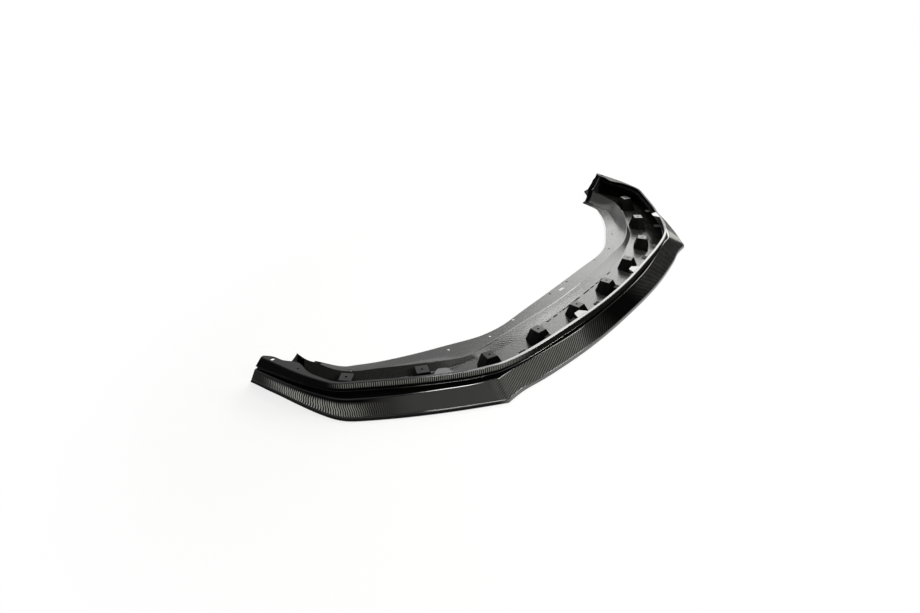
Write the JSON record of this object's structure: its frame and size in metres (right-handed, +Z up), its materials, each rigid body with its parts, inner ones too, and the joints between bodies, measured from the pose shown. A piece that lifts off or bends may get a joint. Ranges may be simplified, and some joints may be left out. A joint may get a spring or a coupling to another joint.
{
  "type": "front splitter lip",
  "caption": "Carbon-fibre front splitter lip: a low bow-shaped tray with mounting towers behind a glossy stepped skin, with raked wing ends, for fitting under a car's front bumper.",
  "frame": {"origin": "centre of the bounding box's underside, on the floor that the lip lies on", "axes": "+X across the car, to the right in plan with the nose at the bottom; -Y towards the nose; +Z up"},
  "size_m": [1.9306, 0.6638, 0.0951],
  "materials": {
    "gloss_carbon": "clear-coated twill carbon laminate, black with a fine weave",
    "satin_carbon": "satin carbon laminate, dark grey with a fine weave"
  },
  "bodies": {
    "root": {"outer_lip": "gloss_carbon", "inner_tray": "satin_carbon"}
  },
  "joints": []
}
